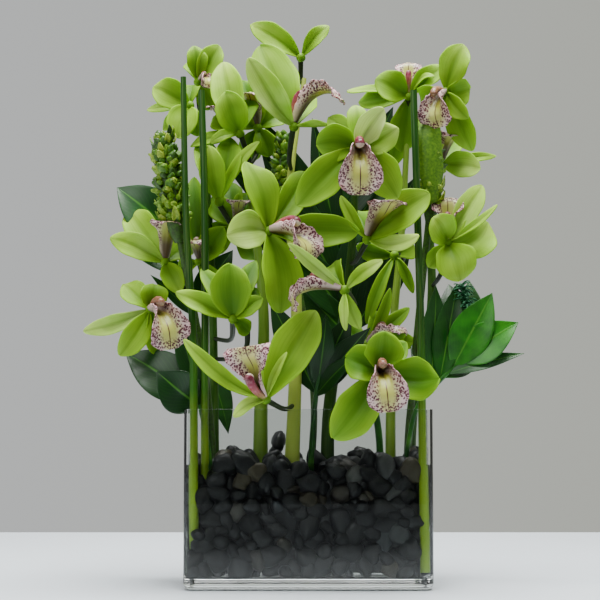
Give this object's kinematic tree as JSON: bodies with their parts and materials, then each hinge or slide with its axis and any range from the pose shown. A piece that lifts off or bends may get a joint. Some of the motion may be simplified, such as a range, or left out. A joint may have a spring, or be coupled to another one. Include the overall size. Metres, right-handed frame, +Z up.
{
  "type": "orchid stem in vase",
  "caption": "Green cymbidium orchid stems with smooth reeds, knobbly bud spikes and glossy leaves, standing among black pebbles in a clear rectangular glass vase.",
  "frame": {"origin": "middle of the underside of the vase", "axes": "+Z up along the stems, -Y out of the vase's long front face, +X to the right seen from the front"},
  "size_m": [0.368, 0.1697, 0.4853],
  "materials": {
    "glass": "clear polished soda glass",
    "water": "clear water",
    "pebble": "smooth river-worn black pebble, wet",
    "reed": "smooth satin plant stem",
    "stalk": "satin plant stem",
    "bud": "knobbly green flower buds",
    "tepal": "waxy lime-green petal",
    "lip": "waxy cream petal with maroon spots",
    "leaf": "glossy dark green leaf"
  },
  "bodies": {
    "root": {"vase": "glass", "water": "water", "pebble_bed": "pebble", "reed_1": "reed", "reed_2": "reed", "reed_3": "reed", "bud_spike_1": "bud", "bud_spike_2": "bud", "bud_spike_3": "bud", "bloom_01": "tepal", "bloom_02": "tepal", "bloom_03": "tepal", "bloom_04": "tepal", "bloom_05": "tepal", "bloom_06": "tepal", "bloom_07": "tepal", "bloom_08": "tepal", "bloom_09": "tepal", "bloom_10": "tepal", "bloom_11": "tepal", "bloom_12": "tepal", "bloom_13": "tepal", "bloom_14": "tepal", "bloom_15": "tepal", "bloom_16": "tepal", "bloom_17": "tepal", "bloom_18": "tepal", "bloom_19": "tepal", "bloom_20": "tepal", "bloom_21": "tepal", "bloom_22": "tepal", "bloom_23": "tepal", "bloom_24": "tepal", "bloom_01_lip": "lip", "bloom_02_lip": "lip", "bloom_03_lip": "lip", "bloom_04_lip": "lip", "bloom_05_lip": "lip", "bloom_06_lip": "lip", "bloom_07_lip": "lip", "bloom_08_lip": "lip", "bloom_12_lip": "lip", "bloom_14_lip": "lip", "bloom_15_lip": "lip", "bloom_16_lip": "lip", "bloom_17_lip": "lip", "bloom_18_lip": "lip", "bloom_20_lip": "lip", "bloom_22_lip": "lip", "orchid_stem_1": "stalk", "orchid_stem_2": "stalk", "orchid_stem_3": "stalk", "orchid_stem_4": "stalk", "orchid_stem_5": "stalk", "orchid_stem_6": "stalk", "leaf_spray_left_high": "leaf", "leaf_spray_left_low": "leaf", "leaf_spray_centre": "leaf", "leaf_spray_right": "leaf", "leaf_spray_back": "leaf"}
  },
  "joints": []
}
